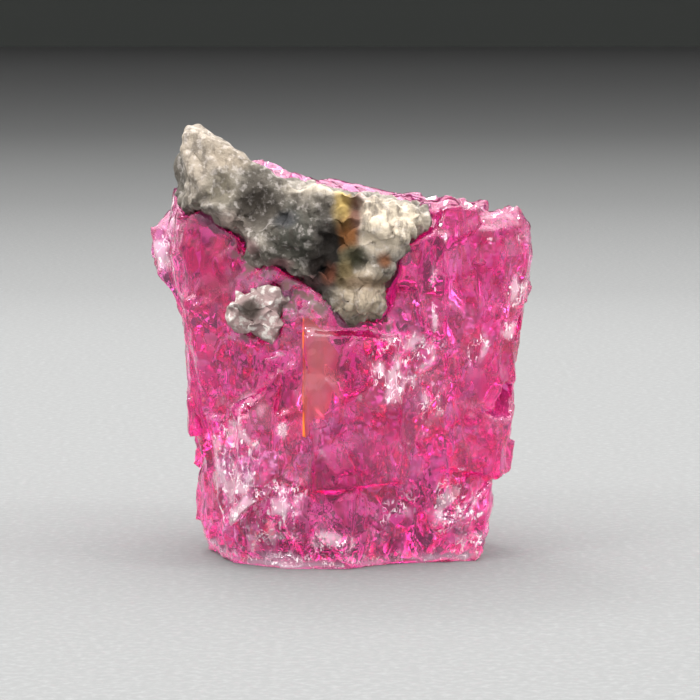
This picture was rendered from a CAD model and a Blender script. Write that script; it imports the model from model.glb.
"""Looks of the red beryl crystal: fine surfaces, inner cracks, stains and studio.

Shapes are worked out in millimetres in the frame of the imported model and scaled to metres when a
piece is finished. The camera looks along +Y, so -Y is the front.
"""

import math
import random

import bmesh
import bpy
import numpy as np
from mathutils import Matrix, Vector, noise
from mathutils.bvhtree import BVHTree


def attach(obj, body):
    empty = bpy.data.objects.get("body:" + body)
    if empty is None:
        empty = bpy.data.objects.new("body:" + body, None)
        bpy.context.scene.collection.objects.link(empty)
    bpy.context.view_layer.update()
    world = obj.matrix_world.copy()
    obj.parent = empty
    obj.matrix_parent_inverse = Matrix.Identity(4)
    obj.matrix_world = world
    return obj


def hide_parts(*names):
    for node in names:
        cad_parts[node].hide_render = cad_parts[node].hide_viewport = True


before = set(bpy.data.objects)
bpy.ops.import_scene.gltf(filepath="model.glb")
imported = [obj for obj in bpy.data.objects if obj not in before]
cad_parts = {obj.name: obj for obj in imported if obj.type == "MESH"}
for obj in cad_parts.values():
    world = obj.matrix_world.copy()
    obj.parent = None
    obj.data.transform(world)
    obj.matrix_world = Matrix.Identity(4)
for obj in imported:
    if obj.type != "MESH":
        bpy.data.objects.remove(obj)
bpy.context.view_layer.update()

METRES = 0.001
MILLIMETRES = 1000.0
SEED = 11

# Camera: the photo shows about 14 mm across at the crystal, from a little above
VIEW_WIDTH = 14.2
CAMERA_DISTANCE = 75.0
CAMERA_ELEVATION = 6.0
CAMERA_TARGET = (0.16, -0.4, 4.16)
SENSOR = 36.0
PHOTO_SIZE = 700

# Meshes
BODY_VOXEL = 0.060
ROCK_VOXEL = 0.045
FLECK_VOXEL = 0.035

# Optics: index of the beryl, and of flaws and stain, which hardly bend the light
BERYL_IOR = 1.57
CLEAR_IOR = 1.02
# How much white flakes, pale film, dust and an even haze cover the clear surface
FLAKE_COVER = 0.85
FILM_COVER = 0.38
DUST_COVER = 0.80
HAZE_COVER = 0.08
# What a millimetre of beryl absorbs in red, green and blue, and the density of its volume
ABSORBED = (0.014, 0.33, 0.115)
ABSORPTION_PER_MM = 0.55

# Colours of the beryl's surface
PALE_PINK = (1.0, 0.34, 0.73)
ROSE = (1.0, 0.18, 0.60)
DEEP_MAGENTA = (0.84, 0.012, 0.36)
WINDOW_PINK = (1.0, 0.52, 0.66)
FILM_PINK = (1.0, 0.76, 0.86)
FLAKE_WHITE = (1.0, 0.90, 0.90)
DUST_BROWN = (0.17, 0.09, 0.085)
DEEP_SHARE = 0.9
# Share of the white flakes that is left outside the pale zones
LEAST_FLAKY = 0.18
LINE_WIDTH = 0.012
# Noises of flakes, lines and dust, as (scale, detail), and the ranges they are spread over
FLAKE_TEXTURE, FLAKE_RANGE = (11.0, 3.0), (0.56, 0.66)
LINE_TEXTURE, LINE_LEVEL = (2.6, 3.0), 0.5
DUST_TEXTURE, DUST_RANGE, DUST_OFFSET = (4.5, 4.0), (0.42, 0.56), (2, 6, 4)
TALL_CELLS = (1.0, 1.0, 0.6)
FINE_FACET_SIZE = 0.16
FINE_FACET_STRENGTH = 0.65


def settle(thing):
    """Replace an object's mesh by the one that its modifiers give."""
    graph = bpy.context.evaluated_depsgraph_get()
    mesh = bpy.data.meshes.new_from_object(thing.evaluated_get(graph))
    thing.modifiers.clear()
    thing.data = mesh


def new_object(name, mesh):
    """An object for a mesh, in the scene."""
    thing = bpy.data.objects.new(name, mesh)
    bpy.context.scene.collection.objects.link(thing)
    return thing


def fine_copy(node, name, voxel):
    """A finely and evenly meshed copy of a CAD node, in millimetres, moved by the shared shifts."""
    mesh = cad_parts[node].data.copy()
    mesh.transform(Matrix.Scale(MILLIMETRES, 4))
    thing = new_object(name, mesh)
    remesh = thing.modifiers.new("Remesh", "REMESH")
    remesh.mode = "VOXEL"
    remesh.voxel_size = voxel
    settle(thing)
    shift_mesh(thing.data)
    return thing


def tree_of(mesh):
    """A search tree over a mesh's faces."""
    return BVHTree.FromPolygons([v.co for v in mesh.vertices], [p.vertices for p in mesh.polygons])


def to_metres(thing):
    """Scale a piece from millimetres to metres."""
    thing.data.transform(Matrix.Scale(METRES, 4))
    thing.data.update()


def rise(value, low, high):
    """0 below low, 1 above high and smooth between."""
    share = min(1.0, max(0.0, (value - low) / (high - low)))
    return share * share * (3.0 - 2.0 * share)


def seen_at(pixel, depth):
    """The place at a depth y that the camera sees at a pixel of the photo, in millimetres."""
    angle = math.radians(CAMERA_ELEVATION)
    per_pixel = VIEW_WIDTH / PHOTO_SIZE / CAMERA_DISTANCE
    right = (pixel[0] - PHOTO_SIZE / 2) * per_pixel
    up = (PHOTO_SIZE / 2 - pixel[1]) * per_pixel
    forward = Vector((0.0, math.cos(angle), -math.sin(angle)))
    line = forward + Vector((right, up * math.sin(angle), up * math.cos(angle)))
    camera = Vector(CAMERA_TARGET) - forward * CAMERA_DISTANCE
    return camera + line * ((depth - camera.y) / line.y)


# Outline

# Depths y of the front face and of the crystal's middle
FRONT = -2.9
MIDDLE = -0.5
SHIFT_REACH = 2.5
SHIFT_DEPTH_SHARE = 0.5
# Small shifts that crystal and rock share, as (pixel of the photo, depth, radius, shift)
SHIFTS = [
    ((168, 180), FRONT, 0.80, (0.56, 0.0, 0.0)),
    ((250, 156), FRONT, 0.50, (0.24, 0.0, 0.08)),
    ((206, 252), FRONT, 0.70, (0.0, 0.0, 0.78)),
    ((285, 292), FRONT, 0.60, (0.0, 0.0, 0.34)),
    ((366, 328), FRONT, 0.50, (-0.04, 0.0, 0.18)),
    ((408, 285), FRONT, 0.60, (-0.26, 0.0, 0.0)),
    ((400, 322), FRONT, 0.40, (-0.18, 0.0, 0.08)),
    ((296, 318), FRONT, 0.45, (-0.24, 0.0, 0.0)),
    ((282, 158), MIDDLE, 1.50, (0.0, 0.0, -0.30)),
    ((352, 162), MIDDLE, 1.50, (0.0, 0.0, -0.20)),
    ((430, 180), MIDDLE, 1.60, (0.0, 0.0, -0.14)),
    ((400, 166), 2.0, 1.80, (0.0, 0.0, -0.30)),
    ((500, 195), MIDDLE, 1.00, (0.0, 0.0, -0.10)),
    ((155, 240), MIDDLE, 1.30, (-0.13, 0.0, 0.0)),
    ((191, 456), MIDDLE, 0.45, (0.12, 0.0, 0.0)),
    ((198, 500), MIDDLE, 0.60, (-0.12, 0.0, 0.0)),
    ((200, 552), MIDDLE, 1.20, (-0.14, 0.0, 0.0)),
    ((488, 552), MIDDLE, 1.20, (0.14, 0.0, 0.0)),
]


def shifted(place):
    """A point moved by the shifts near it, sideways and up or down only."""
    moved = place.copy()
    for pixel, depth, radius, shift in SHIFTS:
        offset = place - seen_at(pixel, depth)
        offset.y *= SHIFT_DEPTH_SHARE
        away = offset.length / radius
        if away < SHIFT_REACH:
            moved += Vector(shift) * math.exp(-away * away)
    moved.z = moved.z if place.z > STILL_BASE else place.z
    return moved


def shift_mesh(mesh):
    """Move a mesh's points by the shared shifts."""
    for vertex in mesh.vertices:
        vertex.co = shifted(vertex.co)
    mesh.update()


# Surface of the crystal

LEDGE_DEPTH = 0.121
LEDGE_LEVELS = 4.0
LEDGE_RISER = 0.80
LEDGE_SCALE = (1.5, 1.5, 0.38)
CHIP_DEPTH = 0.07
CHIP_SIZE = 0.55
LEAST_CHIPPED = 0.35
GRAIN_DEPTH = 0.006
GRAIN_SCALE = 7.0
FACET_SIZE = 0.55
FACET_LEAN = 0.50
# Factor that gives neighbouring facets unrelated directions
FACET_MIXER = 9.7
# Noise that says where the faces are broken up: its scale, place, and the range it is spread over
BROKEN_SCALE = 0.45
BROKEN_PLACE = Vector((4.0, 9.0, 2.0))
BROKEN_RANGE = (-0.25, 0.2)
# Height of the foot that stays as it is, so that the base stays flat
STILL_BASE = 0.12
# The top right is smoother: heights z and widths x between which this begins, and its share
SMOOTH_TOP = (7.1, 7.6)
SMOOTH_RIGHT = (0.4, 1.0)
SMOOTH_SHARE = 0.75
# Height of noise cells and facets against their width
TALL = 0.7


def stretched(place, scale):
    """A place with each axis multiplied by its own scale."""
    return Vector([value * by for value, by in zip(place, scale)])


def ledges(place):
    """Vertical growth ledges: long noise along Z, cut into flat levels."""
    value = noise.noise(stretched(place, LEDGE_SCALE))
    level = (value * 0.5 + 0.5) * LEDGE_LEVELS
    whole = math.floor(level)
    return (whole + rise(level - whole, LEDGE_RISER, 1.0)) / LEDGE_LEVELS


def chips(place, size):
    """Shallow shell-like hollows with sharp ridges between them."""
    distances, _ = noise.voronoi(place / size)
    return min(1.0, distances[0])


def facet_height(place, size):
    """Height of flat facets of one size, each leaning its own way, like crushed glass."""
    spot = Vector((place.x, place.y, place.z * TALL)) / size
    _, points = noise.voronoi(spot)
    lean = noise.cell_vector(points[0] * FACET_MIXER) - Vector((0.5, 0.5, 0.5))
    return (spot - points[0]).dot(lean) * size


def carve_body(thing):
    """Give the crystal its ledges, chips and grain, and keep its base flat."""
    mesh = thing.data
    normals = [v.normal.copy() for v in mesh.vertices]
    for vertex, normal in zip(mesh.vertices, normals):
        place = vertex.co
        amount = rise(place.z, 0.0, STILL_BASE)
        broken = rise(noise.noise(place * BROKEN_SCALE + BROKEN_PLACE), *BROKEN_RANGE)
        depth = (ledges(place) - 0.5) * LEDGE_DEPTH
        depth += (chips(place, CHIP_SIZE) - 0.5) * CHIP_DEPTH * (LEAST_CHIPPED + broken)
        depth += noise.noise(place * GRAIN_SCALE) * GRAIN_DEPTH
        depth += facet_height(place, FACET_SIZE) * FACET_LEAN * (0.5 + 0.5 * broken)
        smooth = rise(place.z, *SMOOTH_TOP) * rise(place.x, *SMOOTH_RIGHT)
        amount *= 1.0 - SMOOTH_SHARE * smooth
        vertex.co = place + normal * depth * amount
    mesh.update()
    for polygon in mesh.polygons:
        polygon.use_smooth = True


# Zones of the crystal

EVEN = (1.0, 1.5, 1.0)
# Deep magenta places, as (pixel of the photo, depth, radius)
DEEP_ZONES = [
    ((213, 252), -2.3, 1.15), ((272, 392), FRONT, 0.95), ((405, 270), FRONT, 1.00),
    ((482, 275), -2.2, 0.85), ((402, 424), FRONT, 0.60), ((345, 352), FRONT, 1.10),
    ((455, 210), -2.3, 1.40), ((505, 360), -1.4, 0.75), ((300, 545), FRONT, 0.50),
    ((372, 396), FRONT, 0.80), ((335, 480), FRONT, 0.80), ((440, 300), -2.6, 0.50),
    ((470, 218), -1.5, 1.60), ((440, 200), 0.6, 1.70), ((300, 300), 2.8, 1.20),
    ((200, 400), 1.8, 1.10), ((450, 400), 2.0, 1.10),
]
# Pale flaky places, as (pixel of the photo, depth, radius, squash)
PALE_ZONES = [
    ((232, 492), FRONT, 1.55, (0.8, 1.5, 1.3)), ((272, 520), FRONT, 1.00, (0.9, 1.5, 1.1)),
    ((405, 522), FRONT, 0.80, (1.2, 1.5, 0.8)), ((462, 512), -2.2, 0.80, (0.9, 1.5, 1.2)),
    ((478, 548), -1.8, 0.60, (1.2, 1.5, 0.8)), ((520, 236), -1.2, 0.30, (0.9, 1.5, 0.9)),
    ((512, 290), -1.4, 0.50, (0.7, 1.5, 1.2)), ((508, 330), -1.6, 0.36, (0.9, 1.5, 0.7)),
    ((456, 236), -2.5, 0.24, (1.2, 1.5, 0.7)), ((435, 300), -2.7, 0.30, (0.35, 1.5, 3.2)),
    ((410, 368), FRONT, 0.75, (1.2, 1.5, 1.1)), ((440, 400), -2.7, 0.70, (0.9, 1.5, 1.4)),
    ((488, 241), -2.2, 0.26, (1.3, 1.5, 0.6)), ((340, 548), FRONT, 0.60, (1.6, 1.5, 0.7)),
    ((158, 240), -0.5, 0.80, (1.0, 2.0, 1.5)), ((482, 345), -1.9, 0.40, (0.8, 1.5, 1.4)),
    ((256, 362), FRONT, 0.32, EVEN), ((283, 432), FRONT, 0.26, EVEN), ((0, 420), 2.0, 1.6, EVEN),
    ((310, 430), 2.8, 1.5, EVEN), ((400, 300), 2.4, 1.4, EVEN), ((250, 520), 2.4, 1.6, EVEN),
]
# Dusty grey places by the rock, as (pixel of the photo, radius, squash)
DUSTY_ZONES = [
    ((250, 262), 0.75, (1.0, 2.0, 1.1)), ((290, 288), 0.72, (1.4, 2.0, 0.7)),
    ((318, 300), 0.50, (1.2, 2.0, 0.8)), ((262, 292), 0.50, (1.2, 2.0, 0.8)),
    ((300, 310), 0.40, (1.5, 2.0, 0.5)), ((394, 262), 0.38, (0.6, 2.0, 2.0)),
    ((255, 320), 0.75, (1.2, 2.0, 0.9)), ((385, 328), 0.38, (1.0, 2.0, 0.7)),
    ((215, 240), 0.45, (1.4, 2.0, 0.8)),
]
# Glassy places where the face isn't broken up, in the same terms
CALM_ZONES = [
    ((322, 375), 1.10, (0.85, 2.0, 1.3)), ((212, 250), 1.05, EVEN), ((270, 400), 0.55, EVEN),
    ((455, 208), 0.75, (1.3, 2.0, 0.7)), ((405, 285), 0.55, EVEN), ((510, 225), 0.55, EVEN),
]
# The face in front of the rust-stained crack, paler so that the rust shows, in the same terms
WINDOW_ZONES = [((318, 372), 0.95, (0.50, 2.0, 1.5))]
ZONE_FADE = 0.45
ZONE_RAGGED = 0.55
CALM_SHARE = 0.9
# Heights between which the base turns pale, and how pale it gets
BASE_PALE = (0.50, 0.05)
BASE_SHARE = 0.9
# Noises over the crystal, as (scale, low and high end of the range, shift)
RAGGED_NOISE = (1.8, -0.6, 0.6, 0.0)
TINT_NOISE = (0.9, -0.35, 0.35, 0.0)
CLOUD_NOISE = (3.0, -0.25, 0.35, 7.0)
SPLINTER_NOISE = (1.1, -0.05, 0.40, 5.0)
# Weight and scale of the finer noise that each of them adds
FINER_WEIGHT = 0.5
FINER_SCALE = 2.1


def smooth_step(values, low, high):
    """rise() for a whole array."""
    share = np.clip((values - low) / (high - low), 0.0, 1.0)
    return share * share * (3.0 - 2.0 * share)


def near_zones(points, ragged, zones):
    """1 near any of the zones and 0 far from all, with ragged edges."""
    nearest = np.zeros(len(points))
    for centre, radius, squash in zones:
        reach = np.linalg.norm((points - np.array(centre)) / np.array(squash), axis=1) / radius
        nearest = np.maximum(nearest, smooth_step(reach + ragged, 1.0, ZONE_FADE))
    return nearest


def noise_field(points, scale, low, high, shift):
    """A cloudy noise over the points, spread to between 0 and 1."""
    places = [Vector((x * scale + shift, y * scale, z * scale * TALL)) for x, y, z in points]
    values = [noise.noise(p) + FINER_WEIGHT * noise.noise(p * FINER_SCALE) for p in places]
    return smooth_step(np.array(values), low, high)


def keep_field(mesh, name, columns):
    """Store four values at each point of a mesh for its material."""
    stored = mesh.attributes.new(name, "FLOAT_COLOR", "POINT")
    stored.data.foreach_set("color", np.stack(columns, axis=1).astype(np.float32).ravel())


def keep_zones(mesh):
    """Store where the crystal is deep, pale, dusty or glassy, and how it varies elsewhere."""
    points = np.empty(len(mesh.vertices) * 3)
    mesh.vertices.foreach_get("co", points)
    points = points.reshape(-1, 3)
    ragged = ZONE_RAGGED * (noise_field(points, *RAGGED_NOISE) - 0.5)
    deep = near_zones(points, ragged, [(seen_at(p, y), r, (1, 1, 1)) for p, y, r in DEEP_ZONES])
    pale = near_zones(points, ragged, [(seen_at(p, y), r, q) for p, y, r, q in PALE_ZONES])
    dusty = near_zones(points, ragged, [(seen_at(p, FRONT), r, q) for p, r, q in DUSTY_ZONES])
    calm = near_zones(points, ragged, [(seen_at(p, FRONT), r, q) for p, r, q in CALM_ZONES])
    by_base = BASE_SHARE * smooth_step(points[:, 2], *BASE_PALE)
    broken = 1.0 - CALM_SHARE * calm
    keep_field(mesh, "zones", [deep, np.maximum(pale, by_base), dusty, broken])
    tint = noise_field(points, *TINT_NOISE)
    clouds = noise_field(points, *CLOUD_NOISE)
    window = near_zones(points, ragged, [(seen_at(p, FRONT), r, q) for p, r, q in WINDOW_ZONES])
    splintered = noise_field(points, *SPLINTER_NOISE)
    keep_field(mesh, "variation", [tint, np.maximum(clouds, by_base), window, splintered])


# Cracks and specks inside the crystal

# Families as (count, smallest and largest radius, least and most depth under the surface,
# height over width, how upright, zone low corner, zone high corner)
EVERYWHERE = ((-4.0, -4.0, 0.2), (4.0, 4.0, 8.2))
CRACKS = [
    (90, 0.12, 0.50, 0.10, 1.20, 1.0, 0.4, *EVERYWHERE),
    (40, 0.30, 0.85, 0.35, 2.60, 1.9, 0.9, *EVERYWHERE),
    (50, 0.08, 0.30, 0.06, 0.50, 1.8, 0.8, (-2.6, -3.2, 0.3), (-0.7, -1.0, 2.4)),
    (34, 0.08, 0.32, 0.06, 0.60, 1.2, 0.3, (0.4, -3.2, 2.8), (2.6, -1.0, 5.4)),
    (30, 0.08, 0.28, 0.06, 0.50, 1.3, 0.3, (2.4, -2.6, 4.6), (4.0, 0.5, 7.2)),
    (30, 0.10, 0.34, 0.08, 0.80, 1.2, 0.3, (0.6, -2.6, 0.2), (3.2, 0.5, 2.0)),
]
# Whitish flaws in the same terms: lower left, lower right, side crystal, by the rock, right of
# the middle, back, front, and large veils
FLAWS = [
    (60, 0.05, 0.36, 0.03, 0.40, 2.2, 0.9, (-2.5, -3.2, 0.3), (-0.5, -1.4, 2.5)),
    (50, 0.05, 0.34, 0.04, 0.60, 1.4, 0.6, (0.7, -2.8, 0.2), (3.2, -0.2, 2.1)),
    (24, 0.05, 0.24, 0.03, 0.45, 1.5, 0.6, (2.4, -2.4, 4.0), (3.9, 0.4, 7.3)),
    (50, 0.03, 0.14, 0.03, 0.18, 1.0, 0.3, (-2.3, -3.2, 4.2), (-0.9, -2.3, 6.4)),
    (60, 0.04, 0.28, 0.03, 0.45, 1.3, 0.4, (0.4, -3.2, 2.6), (2.6, -1.6, 5.6)),
    (40, 0.05, 0.35, 0.03, 0.60, 1.6, 0.6, (-4.0, -0.6, 0.3), (4.0, 3.4, 8.0)),
    (40, 0.04, 0.24, 0.03, 0.45, 1.4, 0.5, (-4.0, -3.2, 0.3), (4.0, -0.6, 8.0)),
    (12, 0.30, 0.70, 0.40, 2.50, 1.3, 0.5, (-4.0, -2.6, 0.3), (4.0, 3.2, 8.0)),
]
CRACK_THICKNESS = 0.05
CRACK_SIDES = 9
CRACK_BEND = 0.35
CRACK_WOBBLE = 0.3
CRACK_REACH = (0.65, 1.15)
CRACK_INNER_RING = 0.55
CRACK_RING_THICKNESS = 0.8
LEAST_SIDE = 0.05
SPECKS = 300
SPECK_SIZES = (0.008, 0.024)
SPECK_DEPTH = 0.06
INNER_MARGIN = 0.035
RAY_DIRECTION = Vector((0.31, 0.22, 0.92)).normalized()
RAY_LIMIT = 40
RAY_STEP = 1e-4
CLEARANCE = 0.05
TRIES_EACH = 60


def is_inside(tree, place):
    """True where a ray from the point leaves the mesh an odd number of times."""
    crossings = 0
    start = place
    while crossings < RAY_LIMIT:
        hit = tree.ray_cast(start, RAY_DIRECTION)[0]
        if hit is None:
            break
        crossings += 1
        start = hit + RAY_DIRECTION * RAY_STEP
    return crossings % 2 == 1


def depth_inside(tree, place):
    """How far a point is under the surface, negative outside."""
    distance = tree.find_nearest(place)[3]
    return distance if is_inside(tree, place) else -distance


def random_direction(rng, upright):
    """A plane's direction, level when upright is 1."""
    angle = rng.uniform(0.0, math.tau)
    lift = rng.uniform(-1.0, 1.0) * (1.0 - upright)
    level = math.sqrt(1.0 - lift * lift)
    return Vector((math.cos(angle) * level, math.sin(angle) * level, lift))


def crack_points(rng, centre, direction, radius, tall):
    """Rim, front and back points of a thin, bent, leaf-like hollow."""
    side = direction.cross(Vector((0.0, 0.0, 1.0)))
    side = side.normalized() if side.length > LEAST_SIDE else Vector((1.0, 0.0, 0.0))
    up = side.cross(direction).normalized()
    bend = rng.uniform(-CRACK_BEND, CRACK_BEND)
    half = radius * CRACK_THICKNESS * 0.5
    ring_half = half * CRACK_RING_THICKNESS
    rim, front, back = [], [], []
    for i in range(CRACK_SIDES):
        angle = math.tau * (i + rng.uniform(-CRACK_WOBBLE, CRACK_WOBBLE)) / CRACK_SIDES
        reach = radius * rng.uniform(*CRACK_REACH)
        flat = side * (math.cos(angle) * reach) + up * (math.sin(angle) * reach * tall)
        bow = bend * flat.length_squared / radius
        rim.append(centre + flat + direction * bow)
        inner = flat * CRACK_INNER_RING
        bow = bend * inner.length_squared / radius
        front.append(centre + inner + direction * (bow + ring_half))
        back.append(centre + inner + direction * (bow - ring_half))
    return rim, front + [centre + direction * half], back + [centre - direction * half]


def add_crack(bm, rim, front, back):
    """A closed hollow whose faces point into it, away from the crystal around it."""
    count = len(rim)
    edge = [bm.verts.new(p) for p in rim]
    near = [bm.verts.new(p) for p in front]
    far = [bm.verts.new(p) for p in back]
    for i in range(count):
        j = (i + 1) % count
        bm.faces.new((near[j], near[i], edge[i], edge[j]))
        bm.faces.new((near[i], near[j], near[count]))
        bm.faces.new((far[i], far[j], edge[j], edge[i]))
        bm.faces.new((far[j], far[i], far[count]))


def add_speck(bm, rng, centre, radius):
    """A tiny eight-sided hollow."""
    axes = [Vector((1, 0, 0)), Vector((0, 1, 0)), Vector((0, 0, 1))]
    turn = Matrix.Rotation(rng.uniform(0.0, math.pi), 3, random_direction(rng, 0.0))
    points = [centre + turn @ (axis * sign * radius) for axis in axes for sign in (1, -1)]
    px, mx, py, my, pz, mz = [bm.verts.new(p) for p in points]
    for a, b, c in ((px, py, pz), (py, mx, pz), (mx, my, pz), (my, px, pz)):
        bm.faces.new((c, b, a))
    for a, b, c in ((py, px, mz), (mx, py, mz), (my, mx, mz), (px, my, mz)):
        bm.faces.new((c, b, a))


def taken_by(trees, points):
    """True where a point lies in or against one of the other pieces."""
    return any(depth_inside(tree, p) > -CLEARANCE for tree in trees for p in points)


def scattered(rng, families, tree, others):
    """Leaf shapes of each family that lie wholly inside the crystal and clear of other pieces."""
    for count, small, large, shallow, deep, tall, upright, low, high in families:
        made = tries = 0
        while made < count and tries < count * TRIES_EACH:
            tries += 1
            centre = Vector([rng.uniform(a, b) for a, b in zip(low, high)])
            radius = small + (large - small) * rng.random() ** 2
            shape = crack_points(rng, centre, random_direction(rng, upright), radius, tall)
            depth = depth_inside(tree, centre)
            if depth < shallow or depth > deep:
                continue
            if min(depth_inside(tree, p) for p in shape[0]) < INNER_MARGIN:
                continue
            if taken_by(others, [centre, *shape[0][::3]]):
                continue
            made += 1
            yield shape


def add_hollows(thing, others):
    """Cracks and specks as hollows in the crystal's own mesh."""
    rng = random.Random(SEED)
    tree = tree_of(thing.data)
    inner = bmesh.new()
    for shape in scattered(rng, CRACKS, tree, others):
        add_crack(inner, *shape)
    made = 0
    while made < SPECKS:
        centre = Vector([rng.uniform(a, b) for a, b in zip(*EVERYWHERE)])
        if depth_inside(tree, centre) > SPECK_DEPTH and not taken_by(others, [centre]):
            add_speck(inner, rng, centre, rng.uniform(*SPECK_SIZES))
            made += 1
    bmesh.ops.recalc_face_normals(inner, faces=inner.faces)
    bmesh.ops.reverse_faces(inner, faces=inner.faces)
    hollows = bpy.data.meshes.new("hollows")
    inner.to_mesh(hollows)
    inner.free()
    whole = bmesh.new()
    whole.from_mesh(thing.data)
    whole.from_mesh(hollows)
    whole.to_mesh(thing.data)
    whole.free()


def flaw_piece(thing, others, material):
    """Whitish flaws near the crystal's faces, as thin frosted leaves in one mesh."""
    rng = random.Random(SEED + 1)
    tree = tree_of(thing.data)
    bm = bmesh.new()
    for shape in scattered(rng, FLAWS, tree, others):
        add_crack(bm, *shape)
    bmesh.ops.recalc_face_normals(bm, faces=bm.faces)
    mesh = bpy.data.meshes.new("white_flaws")
    bm.to_mesh(mesh)
    bm.free()
    mesh.materials.append(material)
    return new_object("white_flaws", mesh)


# Materials

# The rust-stained sheet: its front and back edges, and its outline as (share of the way back, z)
STAIN_FRONT = Vector((-0.76, -2.72, 0.0))
STAIN_BACK = Vector((-0.16, -1.75, 0.0))
STAIN_OUTLINE = [
    (0.0, 5.05), (0.24, 5.01), (0.42, 4.86), (0.60, 4.66), (0.80, 4.44), (0.93, 4.22), (1.0, 3.96),
    (0.99, 3.68), (0.93, 3.42), (0.78, 3.20), (0.54, 3.00), (0.28, 2.83), (0.06, 2.66), (0.0, 2.70),
]
STAIN_THICKNESS = 0.03
# The stain's thick ends, as pixels of the photo, their radius and how much light they stop
STAIN_THICK = ((305, 322), (300, 432))
STAIN_THICK_RADIUS = 0.40
STAIN_THICK_COVER = 0.45
# Widths from its front edge over which the stain is orange and over which it clears
STAIN_ORANGE_WIDTH = 0.14
STAIN_CLEAR_WIDTH = 0.16
STAIN_CLEAR = (0.25, 0.62)
STAIN_TOP = (4.55, 5.0)
STAIN_COLOURS = ((1.0, 0.70, 0.52), (1.0, 0.56, 0.32))
STAIN_ORANGE = (1.0, 0.24, 0.04)
STAIN_ROUGHNESS = 0.35
# Noises of zone edges, stain and flaws, as (scale, detail), and the ranges they are spread over
RAGGED_TEXTURE = (1.8, 4.0)
STAIN_TEXTURE, STAIN_RANGE = (2.5, 4.0), (0.35, 0.65)
NET_TEXTURE, NET_RANGE = (11.0, 6.0), (0.62, 0.52)
FLAW_WHITE = (1.0, 0.97, 0.98, 1.0)
FLAW_ROUGHNESS = 0.5
# Rock colours, as (pixel of the photo, radius, squash, colour)
ROCK_ZONES = [
    ((298, 240), 0.95, EVEN, (0.036, 0.034, 0.025)),
    ((185, 150), 1.15, (1.0, 1.5, 1.2), (0.27, 0.225, 0.175)),
    ((228, 152), 0.65, (1.2, 1.5, 0.8), (0.26, 0.21, 0.155)),
    ((222, 188), 0.50, EVEN, (0.13, 0.11, 0.078)),
    ((222, 226), 0.60, (1.2, 1.5, 0.7), (0.26, 0.20, 0.17)),
    ((258, 208), 0.70, (0.9, 1.5, 1.0), (0.032, 0.024, 0.017)),
    ((362, 297), 0.80, EVEN, (0.40, 0.32, 0.23)),
    ((385, 225), 0.95, (1.2, 1.5, 0.8), (0.50, 0.42, 0.32)),
    ((322, 186), 0.60, (2.0, 1.5, 0.5), (0.36, 0.31, 0.245)),
    ((358, 187), 0.45, (1.0, 1.5, 0.7), (0.55, 0.41, 0.38)),
]
# Small stains over them, in the same terms
ROCK_STAINS = [
    ((344, 208), 0.55, (0.55, 2.0, 1.9), (0.48, 0.33, 0.10)),
    ((355, 214), 0.42, (0.5, 2.0, 1.8), (0.12, 0.045, 0.030)),
    ((332, 250), 1.00, (0.62, 2.0, 1.1), (0.009, 0.005, 0.003)),
    ((320, 277), 0.60, (0.8, 2.0, 1.0), (0.014, 0.006, 0.004)),
    ((347, 238), 0.40, (0.7, 2.0, 1.3), (0.17, 0.055, 0.006)),
    ((352, 258), 0.40, (1.0, 2.0, 0.9), (0.040, 0.038, 0.016)),
    ((346, 276), 0.28, (1.0, 2.0, 1.6), (0.09, 0.060, 0.018)),
    ((366, 283), 0.34, (2.0, 2.0, 0.7), (0.09, 0.055, 0.028)),
    ((328, 272), 0.28, (0.8, 2.0, 1.2), (0.10, 0.022, 0.005)),
    ((385, 260), 0.22, EVEN, (0.15, 0.05, 0.015)),
    ((248, 312), 0.42, EVEN, (0.030, 0.020, 0.013)),
    ((284, 220), 0.32, (1.2, 2.0, 0.8), (0.028, 0.028, 0.030)),
    ((250, 246), 0.30, (1.1, 2.0, 0.8), (0.22, 0.13, 0.125)),
    ((280, 264), 0.28, (1.3, 2.0, 0.7), (0.17, 0.085, 0.085)),
    ((308, 284), 0.26, (1.2, 2.0, 0.8), (0.13, 0.06, 0.06)),
]
ROCK_STAIN_SHARE = 0.93
# How far a noise moves the edge of a zone, against its radius
BLOB_RAGGED = 0.9
# Greys between the zones, dark ribs over all, and pinkish crumbs round the fleck with bright grains
ROCK_GREYS = ((0.075, 0.064, 0.050), (0.19, 0.165, 0.135))
PATCH_TEXTURE, PATCH_RANGE = (1.5, 6.0), (0.42, 0.60)
RIB_BROWN = (0.045, 0.034, 0.026)
RIB_SHARE = 0.55
RIB_TEXTURE, RIB_RANGE, RIB_STRETCH = (1.0, 4.0), (0.50, 0.66), (6.5, 6.5, 1.6)
FLECK_PIXEL = (253, 320)
CRUMBLY_RADIUS = 1.4
CRUMBLY_PINK = (0.36, 0.25, 0.24)
BRIGHT_CREAM = (0.62, 0.56, 0.52)
LEAST_BRIGHT = 0.28
BRIGHT_TEXTURE, BRIGHT_RANGE, BRIGHT_OFFSET = (7.0, 6.0), (0.50, 0.64), (3, 1, 7)
ROCK_ROUGHNESS = 0.85
# Small relief, as (strength, distance in millimetres)
ROCK_BUMP_TEXTURE, ROCK_BUMP = (7.0, 7.0), (0.7, 0.10)


def node(tree, kind, **values):
    """A shader node with its properties and input values set."""
    made = tree.nodes.new(kind)
    for name, value in values.items():
        if hasattr(made, name):
            setattr(made, name, value)
        else:
            made.inputs[name.replace("_", " ")].default_value = value
    return made


def start_material(name):
    """A material with its shader, and the place on the piece in millimetres."""
    material = bpy.data.materials.new(name)
    material.use_nodes = True
    tree = material.node_tree
    shader = tree.nodes["Principled BSDF"]
    coords = node(tree, "ShaderNodeTexCoord")
    place = node(tree, "ShaderNodeVectorMath", operation="SCALE", Scale=MILLIMETRES)
    tree.links.new(coords.outputs["Object"], place.inputs[0])
    return material, tree, shader, place.outputs[0]


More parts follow.
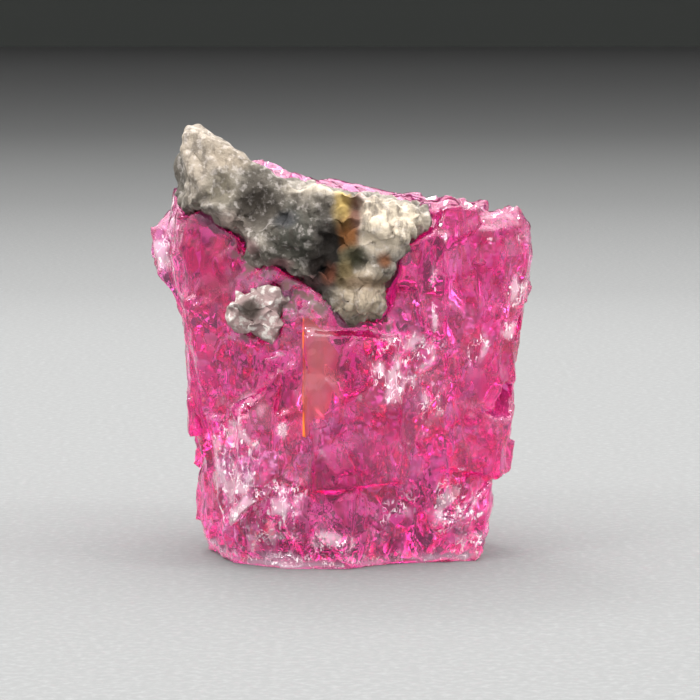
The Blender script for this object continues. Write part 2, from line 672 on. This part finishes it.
def noise_value(tree, place, scale, detail=3.0, stretch=None, offset=(0.0, 0.0, 0.0)):
    """Noise between about 0.2 and 0.8 at a scale per millimetre."""
    if stretch or any(offset):
        mapping = node(tree, "ShaderNodeMapping")
        mapping.inputs["Scale"].default_value = stretch or (1.0, 1.0, 1.0)
        mapping.inputs["Location"].default_value = offset
        tree.links.new(place, mapping.inputs["Vector"])
        place = mapping.outputs[0]
    texture = node(tree, "ShaderNodeTexNoise", Scale=scale, Detail=detail, Roughness=0.6)
    tree.links.new(place, texture.inputs["Vector"])
    return texture.outputs["Fac"]


def map_range(tree, value, low, high, to_low=0.0, to_high=1.0):
    """A value moved smoothly from one range to another."""
    mapped = node(tree, "ShaderNodeMapRange", interpolation_type="SMOOTHSTEP")
    mapped.inputs["From Min"].default_value = low
    mapped.inputs["From Max"].default_value = high
    mapped.inputs["To Min"].default_value = to_low
    mapped.inputs["To Max"].default_value = to_high
    tree.links.new(value, mapped.inputs["Value"])
    return mapped.outputs[0]


def blob(tree, place, ragged, centre, radius, squash=(1.0, 1.0, 1.0)):
    """1 near a place on the piece, fading to 0 outside it, with an edge made ragged by a noise."""
    shift = node(tree, "ShaderNodeVectorMath", operation="SUBTRACT")
    tree.links.new(place, shift.inputs[0])
    shift.inputs[1].default_value = centre
    squeeze = node(tree, "ShaderNodeVectorMath", operation="DIVIDE")
    tree.links.new(shift.outputs[0], squeeze.inputs[0])
    squeeze.inputs[1].default_value = squash
    length = node(tree, "ShaderNodeVectorMath", operation="LENGTH")
    tree.links.new(squeeze.outputs[0], length.inputs[0])
    uneven = math_node(tree, "MULTIPLY", ragged, radius * BLOB_RAGGED)
    total = math_node(tree, "ADD", length.outputs["Value"], uneven)
    outer = radius * (1.0 + BLOB_RAGGED / 2)
    return map_range(tree, total, outer, outer * 0.5)


def math_node(tree, operation, *values):
    """The result of one sum on values or sockets."""
    made = node(tree, "ShaderNodeMath", operation=operation)
    for socket, value in zip(made.inputs, values):
        if isinstance(value, (int, float)):
            socket.default_value = value
        else:
            tree.links.new(value, socket)
    return made.outputs[0]


def mix_colour(tree, share, first, second):
    """Two colours or colour sockets mixed by a share."""
    made = node(tree, "ShaderNodeMix", data_type="RGBA")
    for index, value in ((6, first), (7, second)):
        if isinstance(value, tuple):
            made.inputs[index].default_value = (*value, 1.0)
        else:
            tree.links.new(value, made.inputs[index])
    tree.links.new(share, made.inputs[0])
    return made.outputs[2]


def add_bump(tree, shader, height, strength, distance):
    """Small relief from a height value, with its distance in millimetres."""
    bump = node(tree, "ShaderNodeBump", Strength=strength, Distance=distance * METRES)
    tree.links.new(height, bump.inputs["Height"])
    tree.links.new(bump.outputs[0], shader.inputs["Normal"])


def squeezed(tree, place, stretch):
    """The place with its axes stretched."""
    made = node(tree, "ShaderNodeVectorMath", operation="MULTIPLY")
    tree.links.new(place, made.inputs[0])
    made.inputs[1].default_value = stretch
    return made.outputs[0]


def facets(tree, place, size):
    """The shader's form of facet_height()."""
    cells = node(tree, "ShaderNodeTexVoronoi", Scale=1.0 / size)
    tree.links.new(place, cells.inputs["Vector"])
    offset = node(tree, "ShaderNodeVectorMath", operation="SUBTRACT")
    tree.links.new(place, offset.inputs[0])
    tree.links.new(cells.outputs["Position"], offset.inputs[1])
    lean = node(tree, "ShaderNodeVectorMath", operation="SUBTRACT")
    tree.links.new(cells.outputs["Color"], lean.inputs[0])
    lean.inputs[1].default_value = (0.5, 0.5, 0.5)
    height = node(tree, "ShaderNodeVectorMath", operation="DOT_PRODUCT")
    tree.links.new(offset.outputs[0], height.inputs[0])
    tree.links.new(lean.outputs[0], height.inputs[1])
    return height.outputs["Value"]


def fields_of(tree, name):
    """The four values that the mesh keeps under a name."""
    stored = node(tree, "ShaderNodeAttribute", attribute_name=name)
    split = node(tree, "ShaderNodeSeparateColor")
    tree.links.new(stored.outputs["Color"], split.inputs[0])
    return [*split.outputs, stored.outputs["Alpha"]]


def beryl_material():
    """Clear pinkish red crystal with deeper zones, pale flaky zones and dust by the rock."""
    material, tree, shader, place = start_material("beryl_clear")
    deep, pale, dusty, broken = fields_of(tree, "zones")
    tint, clouds, window, splintered = fields_of(tree, "variation")
    tall = squeezed(tree, place, TALL_CELLS)
    colour = mix_colour(tree, tint, PALE_PINK, ROSE)
    colour = mix_colour(tree, math_node(tree, "MULTIPLY", deep, DEEP_SHARE), colour, DEEP_MAGENTA)
    colour = mix_colour(tree, window, colour, WINDOW_PINK)
    film = math_node(tree, "MULTIPLY", pale, clouds)
    flakes = map_range(tree, noise_value(tree, tall, *FLAKE_TEXTURE), *FLAKE_RANGE)
    off_line = math_node(tree, "SUBTRACT", noise_value(tree, tall, *LINE_TEXTURE), LINE_LEVEL)
    lines = map_range(tree, math_node(tree, "ABSOLUTE", off_line), LINE_WIDTH, 0.0)
    white = math_node(tree, "MAXIMUM", flakes, lines)
    white = math_node(tree, "MULTIPLY", white, map_range(tree, pale, 0.0, 1.0, LEAST_FLAKY, 1.0))
    white = math_node(tree, "MULTIPLY", white, broken)
    colour = mix_colour(tree, film, colour, FILM_PINK)
    colour = mix_colour(tree, white, colour, FLAKE_WHITE)
    grains = noise_value(tree, place, *DUST_TEXTURE, offset=DUST_OFFSET)
    dust = math_node(tree, "MULTIPLY", dusty, map_range(tree, grains, *DUST_RANGE))
    colour = mix_colour(tree, dust, colour, DUST_BROWN)
    tree.links.new(colour, shader.inputs["Base Color"])
    cover = HAZE_COVER
    for zone, most in ((film, FILM_COVER), (white, FLAKE_COVER), (dust, DUST_COVER)):
        cover = math_node(tree, "MAXIMUM", math_node(tree, "MULTIPLY", zone, most), cover)
    tree.links.new(math_node(tree, "SUBTRACT", 1.0, cover), shader.inputs["Transmission Weight"])
    shader.inputs["Roughness"].default_value = 0.0
    shader.inputs["IOR"].default_value = BERYL_IOR
    fine = math_node(tree, "MULTIPLY", facets(tree, tall, FINE_FACET_SIZE), splintered)
    add_bump(tree, shader, math_node(tree, "MULTIPLY", fine, broken), FINE_FACET_STRENGTH, 1.0)
    absorb = node(tree, "ShaderNodeVolumeAbsorption")
    absorb.inputs["Density"].default_value = ABSORPTION_PER_MM / METRES
    absorb.inputs["Color"].default_value = (*[1.0 - a / ABSORPTION_PER_MM for a in ABSORBED], 1.0)
    output = tree.nodes["Material Output"]
    tree.links.new(absorb.outputs[0], output.inputs["Volume"])
    return material


def flaw_material():
    """White walls of the finest cracks, broken up like a net and clear between."""
    material, tree, shader, place = start_material("white_flaw")
    shader.inputs["Base Color"].default_value = FLAW_WHITE
    shader.inputs["Roughness"].default_value = FLAW_ROUGHNESS
    shader.inputs["IOR"].default_value = CLEAR_IOR
    clear = map_range(tree, noise_value(tree, place, *NET_TEXTURE), *NET_RANGE)
    tree.links.new(clear, shader.inputs["Transmission Weight"])
    return material


def rock_material():
    """Dull rock: cream at the point and the right lobe, grey between, ochre and near black."""
    material, tree, shader, place = start_material("matrix_rock")
    ragged = noise_value(tree, place, *RAGGED_TEXTURE)
    patches = map_range(tree, noise_value(tree, place, *PATCH_TEXTURE), *PATCH_RANGE)
    colour = mix_colour(tree, patches, *ROCK_GREYS)
    for pixel, radius, squash, shade in ROCK_ZONES:
        near = blob(tree, place, ragged, seen_at(pixel, FRONT), radius, squash)
        colour = mix_colour(tree, near, colour, shade)
    ribs = noise_value(tree, place, *RIB_TEXTURE, stretch=RIB_STRETCH)
    dark = math_node(tree, "MULTIPLY", map_range(tree, ribs, *RIB_RANGE), RIB_SHARE)
    colour = mix_colour(tree, dark, colour, RIB_BROWN)
    grains = noise_value(tree, place, *BRIGHT_TEXTURE, offset=BRIGHT_OFFSET)
    bright = map_range(tree, grains, *BRIGHT_RANGE)
    crumbly = blob(tree, place, ragged, seen_at(FLECK_PIXEL, FRONT), CRUMBLY_RADIUS)
    colour = mix_colour(tree, crumbly, colour, CRUMBLY_PINK)
    share = math_node(tree, "MULTIPLY", bright, math_node(tree, "ADD", crumbly, LEAST_BRIGHT))
    colour = mix_colour(tree, share, colour, BRIGHT_CREAM)
    for pixel, radius, squash, shade in ROCK_STAINS:
        near = blob(tree, place, ragged, seen_at(pixel, FRONT), radius, squash)
        near = math_node(tree, "MULTIPLY", near, ROCK_STAIN_SHARE)
        colour = mix_colour(tree, near, colour, shade)
    tree.links.new(colour, shader.inputs["Base Color"])
    shader.inputs["Roughness"].default_value = ROCK_ROUGHNESS
    add_bump(tree, shader, noise_value(tree, place, *ROCK_BUMP_TEXTURE), *ROCK_BUMP)
    return material


def stain_material():
    """Rusty film on the walls of one crack, thickest along its front edge and at its ends."""
    material, tree, shader, place = start_material("rust_film")
    ragged = noise_value(tree, place, *RAGGED_TEXTURE)
    patches = map_range(tree, noise_value(tree, place, *STAIN_TEXTURE), *STAIN_RANGE)
    colour = mix_colour(tree, patches, *STAIN_COLOURS)
    split = node(tree, "ShaderNodeSeparateXYZ")
    tree.links.new(place, split.inputs[0])
    across = split.outputs["X"]
    edge = map_range(tree, across, STAIN_FRONT.x + STAIN_ORANGE_WIDTH, STAIN_FRONT.x)
    high = map_range(tree, split.outputs["Z"], *STAIN_TOP)
    colour = mix_colour(tree, math_node(tree, "MAXIMUM", edge, high), colour, STAIN_ORANGE)
    tree.links.new(colour, shader.inputs["Base Color"])
    clear = map_range(tree, across, STAIN_FRONT.x, STAIN_FRONT.x + STAIN_CLEAR_WIDTH, *STAIN_CLEAR)
    for pixel in STAIN_THICK:
        near = blob(tree, place, ragged, seen_at(pixel, STAIN_FRONT.y), STAIN_THICK_RADIUS)
        cover = math_node(tree, "MULTIPLY", near, STAIN_THICK_COVER)
        clear = math_node(tree, "SUBTRACT", clear, cover)
    tree.links.new(clear, shader.inputs["Transmission Weight"])
    shader.inputs["Roughness"].default_value = STAIN_ROUGHNESS
    shader.inputs["IOR"].default_value = CLEAR_IOR
    return material


# Pieces

ROCK_PUSH = 0.15
ROCK_RELIEF = 0.07
ROCK_RAGGED = 0.10
FLECK_RAGGED = 0.16
ROCK_TUCK = 0.16
# Forms of the rock's face, as (pixel of the photo, radius, height out of the face)
ROCK_FORMS = [
    ((334, 245), 0.30, -0.42), ((322, 268), 0.28, -0.36), ((346, 225), 0.20, -0.30),
    ((352, 205), 0.18, -0.26), ((292, 232), 0.55, 0.12), ((256, 210), 0.36, -0.26),
    ((195, 158), 0.60, 0.10), ((218, 222), 0.34, 0.10), ((380, 228), 0.40, 0.12),
    ((362, 262), 0.20, -0.18), ((358, 296), 0.45, 0.18), ((388, 290), 0.24, -0.14),
    ((338, 285), 0.16, -0.20), ((318, 190), 0.35, 0.10), ((284, 222), 0.16, -0.12),
    ((300, 262), 0.20, -0.14), ((248, 312), 0.18, -0.14), ((222, 188), 0.25, -0.10),
]
FORM_EDGE = 1.6
# The named forms lie in front of this depth
FORMS_BEFORE = -1.6
CRUMB_SIZE = 0.17
CRUMB_RELIEF = 0.05
# Noises of the rock's face, as (weight, scale), and its upright fibres
ROCK_NOISES = ((1.0, 2.2), (0.6, 5.5), (0.35, 13.0))
FIBRE_WEIGHT = 0.85
FIBRE_SCALE = (6.5, 6.5, 1.4)
# The point of the rock is smoother: range of z less a share of x, and how much smoother
POINT_RANGE = (7.4, 9.2)
POINT_LEAN = 0.6
POINT_SMOOTH = 0.75
# Distances from the crystal over which the rock's push against it fades
PUSH_RANGE = (0.12, 0.32)
# Noises that make the rock's edges ragged, as (weight, scale), and heights where this fades
RAGGED_NOISES = ((0.6, 2.6), (1.0, 6.0))
RAGGED_RANGE = (7.2, 8.0)
# Widths to the left over which the rock is tucked in
TUCK_RANGE = (2.7, 3.5)


def rock_height(place):
    """Relief of the rock's face: lumps, ribs, grain and the named forms."""
    height = sum(weight * noise.noise(place * scale) for weight, scale in ROCK_NOISES)
    height += FIBRE_WEIGHT * noise.noise(stretched(place, FIBRE_SCALE))
    crumbly = 1.0 - POINT_SMOOTH * rise(place.z - POINT_LEAN * place.x, *POINT_RANGE)
    height = (height * ROCK_RELIEF + (0.5 - chips(place, CRUMB_SIZE)) * CRUMB_RELIEF) * crumbly
    for pixel, radius, rise_out in ROCK_FORMS:
        centre = seen_at(pixel, place.y)
        reach = (place - centre).length / radius
        if reach < FORM_EDGE and place.y < FORMS_BEFORE:
            height += rise_out * (1.0 - rise(reach, 0.0, FORM_EDGE))
    return height


def rock_piece(node_name, name, voxel, raggedness, crystal_tree, material):
    """Rock with a rough face, grown fast to the crystal where the solid keeps a gap."""
    thing = fine_copy(node_name, name, voxel)
    mesh = thing.data
    normals = [v.normal.copy() for v in mesh.vertices]
    for vertex, normal in zip(mesh.vertices, normals):
        place = vertex.co
        distance = crystal_tree.find_nearest(place)[3]
        push = ROCK_PUSH * (1.0 - rise(distance, *PUSH_RANGE))
        ragged = Vector()
        for weight, scale in RAGGED_NOISES:
            ragged += weight * noise.noise_vector(place * scale)
        ragged.y = 0.0
        ragged *= raggedness * (1.0 - POINT_SMOOTH * rise(place.z, *RAGGED_RANGE))
        ragged.x += ROCK_TUCK * rise(-place.x, *TUCK_RANGE)
        vertex.co = place + normal * (push + rock_height(place)) + ragged
    mesh.update()
    for polygon in mesh.polygons:
        polygon.use_smooth = True
    mesh.materials.clear()
    mesh.materials.append(material)
    return thing


def stain_piece(material):
    """A thin rust-stained sheet that runs back from the front, seen at a slant."""
    across = STAIN_BACK - STAIN_FRONT
    outward = across.cross(Vector((0.0, 0.0, 1.0))).normalized() * (STAIN_THICKNESS / 2)
    bm = bmesh.new()
    sides = []
    for sign in (1, -1):
        points = [STAIN_FRONT + across * share + Vector((0.0, 0.0, z)) for share, z in STAIN_OUTLINE]
        sides.append([bm.verts.new(p + outward * sign) for p in points])
    bm.faces.new(sides[0])
    bm.faces.new(reversed(sides[1]))
    count = len(STAIN_OUTLINE)
    for i in range(count):
        j = (i + 1) % count
        bm.faces.new((sides[0][j], sides[0][i], sides[1][i], sides[1][j]))
    bmesh.ops.recalc_face_normals(bm, faces=bm.faces)
    bmesh.ops.triangulate(bm, faces=bm.faces)
    mesh = bpy.data.meshes.new("rust_stain")
    bm.to_mesh(mesh)
    bm.free()
    mesh.materials.append(material)
    return new_object("rust_stain", mesh)


def build_pieces():
    """Everything that is part of the object."""
    cad_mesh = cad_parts["crystal"].data.copy()
    cad_mesh.transform(Matrix.Scale(MILLIMETRES, 4))
    crystal_tree = tree_of(cad_mesh)
    rock = rock_material()
    matrix = rock_piece("matrix", "matrix_rock", ROCK_VOXEL, ROCK_RAGGED, crystal_tree, rock)
    fleck = rock_piece(
        "matrix_fleck", "matrix_fleck_rock", FLECK_VOXEL, FLECK_RAGGED, crystal_tree, rock
    )
    stain = stain_piece(stain_material())
    body = fine_copy("crystal", "beryl_body", BODY_VOXEL)
    carve_body(body)
    others = [tree_of(piece.data) for piece in (matrix, fleck, stain)]
    flaws = flaw_piece(body, others, flaw_material())
    add_hollows(body, others)
    keep_zones(body.data)
    body.data.materials.clear()
    body.data.materials.append(beryl_material())
    for piece, node_name, slot in (
        (body, "crystal", "beryl"),
        (matrix, "matrix", "matrix"),
        (fleck, "matrix_fleck", "matrix"),
        (stain, None, "matrix"),
        (flaws, None, "beryl"),
    ):
        to_metres(piece)
        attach(piece, "root")
        if node_name:
            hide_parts(node_name)
    print("triangles", {p.name: sum(len(f.vertices) - 2 for f in p.data.polygons)
                        for p in (body, matrix, fleck, stain, flaws)})


# Studio

FLOOR_NEAR = -0.30
FLOOR_FAR = 0.45
FLOOR_HALF_WIDTH = 0.30
WALL_HEIGHT = 0.16
WALL_FOOT = -0.05
SKY_SIDE = 1.25
SKY_TOP = 5.2
# Heights of the sky, as sines, between which it gets brighter
SKY_RANGE = (0.40, 0.85)
# Lamps, as (name, size in metres, power in watts, place in metres), all aimed at one point
LAMPS = [
    ("back_light", 0.020, 0.030, (-0.02, 0.05, 0.08)),
    ("left_light", 0.014, 0.024, (-0.05, -0.05, 0.07)),
    ("right_light", 0.014, 0.024, (0.06, -0.03, 0.07)),
]
LAMP_AIM = (0.0, 0.0, 0.005)
# The floor's green against red and blue, its grain, its least brightness and its small relief
FLOOR_GREEN = 1.01
GRAIN_TEXTURE, CARD_GRAIN = (6.0, 3.0), (0.40, 0.80, 0.0, 0.20)
CARD_LEAST = 0.93
CARD_ROUGHNESS = 0.8
CARD_SHINE = 0.1
CARD_BUMP = (0.25, 0.05)
WALL_GREY = (0.017, 0.019, 0.017, 1.0)
# Floor greys, as (distance behind the object in millimetres, grey)
FLOOR_GREYS = ((40.0, 0.160), (60.0, 0.140), (110.0, 0.085), (187.0, 0.018), (300.0, 0.009))


def plane(name, corners, material):
    """A staged flat sheet through its corners, in metres."""
    mesh = bpy.data.meshes.new(name)
    mesh.from_pydata(corners, [], [tuple(range(len(corners)))])
    mesh.materials.append(material)
    thing = new_object(name, mesh)
    return thing


def floor_material():
    """Pale card with fine grain, which gets darker towards the back."""
    material, tree, shader, place = start_material("floor")
    split = node(tree, "ShaderNodeSeparateXYZ")
    tree.links.new(place, split.inputs[0])
    ramp = node(tree, "ShaderNodeValToRGB")
    ramp.color_ramp.interpolation = "B_SPLINE"
    last = FLOOR_GREYS[-1][0]
    stops = ramp.color_ramp.elements
    while len(stops) < len(FLOOR_GREYS):
        stops.new(0.5)
    for stop, (distance, grey) in zip(stops, FLOOR_GREYS):
        stop.position = distance / last
        stop.color = (grey, grey * FLOOR_GREEN, grey, 1.0)
    tree.links.new(math_node(tree, "DIVIDE", split.outputs["Y"], last), ramp.inputs[0])
    grain = noise_value(tree, place, *GRAIN_TEXTURE)
    paler = math_node(tree, "ADD", map_range(tree, grain, *CARD_GRAIN), CARD_LEAST)
    colour = node(tree, "ShaderNodeVectorMath", operation="SCALE")
    tree.links.new(ramp.outputs["Color"], colour.inputs[0])
    tree.links.new(paler, colour.inputs["Scale"])
    tree.links.new(colour.outputs[0], shader.inputs["Base Color"])
    shader.inputs["Roughness"].default_value = CARD_ROUGHNESS
    shader.inputs["Specular IOR Level"].default_value = CARD_SHINE
    add_bump(tree, shader, grain, *CARD_BUMP)
    return material


def wall_material():
    """Plain dark grey."""
    material, _, shader, _ = start_material("wall")
    shader.inputs["Base Color"].default_value = WALL_GREY
    shader.inputs["Roughness"].default_value = 1.0
    return material


def light_world():
    """Soft light from all round, brightest overhead."""
    world = bpy.data.worlds.new("studio")
    bpy.context.scene.world = world
    world.use_nodes = True
    tree = world.node_tree
    background = tree.nodes["Background"]
    coords = node(tree, "ShaderNodeTexCoord")
    split = node(tree, "ShaderNodeSeparateXYZ")
    tree.links.new(coords.outputs["Generated"], split.inputs[0])
    overhead = map_range(tree, split.outputs["Z"], *SKY_RANGE, SKY_SIDE, SKY_TOP)
    tree.links.new(overhead, background.inputs["Strength"])
    background.inputs["Color"].default_value = (1.0, 1.0, 1.0, 1.0)


def add_lamp(name, size, power, place, aim):
    """A soft square lamp aimed at a point, in metres."""
    lamp = bpy.data.lights.new(name, "AREA")
    lamp.size = size
    lamp.energy = power
    thing = bpy.data.objects.new(name, lamp)
    bpy.context.scene.collection.objects.link(thing)
    thing.location = place
    thing.rotation_euler = (Vector(aim) - Vector(place)).to_track_quat("-Z", "Y").to_euler()


def build_studio():
    """Floor, dark backdrop and light."""
    floor_corners = [
        (-FLOOR_HALF_WIDTH, FLOOR_NEAR, 0.0), (FLOOR_HALF_WIDTH, FLOOR_NEAR, 0.0),
        (FLOOR_HALF_WIDTH, FLOOR_FAR, 0.0), (-FLOOR_HALF_WIDTH, FLOOR_FAR, 0.0),
    ]
    plane("floor", floor_corners, floor_material())
    wall_corners = [
        (-FLOOR_HALF_WIDTH, FLOOR_FAR, WALL_FOOT), (FLOOR_HALF_WIDTH, FLOOR_FAR, WALL_FOOT),
        (FLOOR_HALF_WIDTH, FLOOR_FAR, WALL_HEIGHT), (-FLOOR_HALF_WIDTH, FLOOR_FAR, WALL_HEIGHT),
    ]
    plane("wall", wall_corners, wall_material())
    light_world()
    for name, size, power, place in LAMPS:
        add_lamp(name, size, power, place, LAMP_AIM)


def add_camera():
    """The photo's view: a little above, with a long lens."""
    camera = bpy.data.cameras.new("camera")
    camera.sensor_width = SENSOR
    camera.lens = SENSOR * CAMERA_DISTANCE / VIEW_WIDTH
    camera.clip_start = 0.001
    camera.clip_end = 10.0
    thing = bpy.data.objects.new("camera", camera)
    bpy.context.scene.collection.objects.link(thing)
    target = Vector(CAMERA_TARGET) * METRES
    angle = math.radians(CAMERA_ELEVATION)
    away = Vector((0.0, -math.cos(angle), math.sin(angle))) * CAMERA_DISTANCE * METRES
    thing.location = target + away
    thing.rotation_euler = (-away).to_track_quat("-Z", "Y").to_euler()
    bpy.context.scene.camera = thing


def set_light_paths():
    """Enough bounces for light to find its way through the cracks, and the plain view."""
    cycles = bpy.context.scene.cycles
    cycles.max_bounces = 16
    cycles.transmission_bounces = 16
    cycles.glossy_bounces = 10
    cycles.sample_clamp_indirect = 6.0
    cycles.adaptive_threshold = 0.03
    bpy.context.scene.view_settings.view_transform = "Standard"


# Without a seed, noise_vector gives other values in each run
noise.seed_set(SEED)
build_pieces()
build_studio()
add_camera()
set_light_paths()
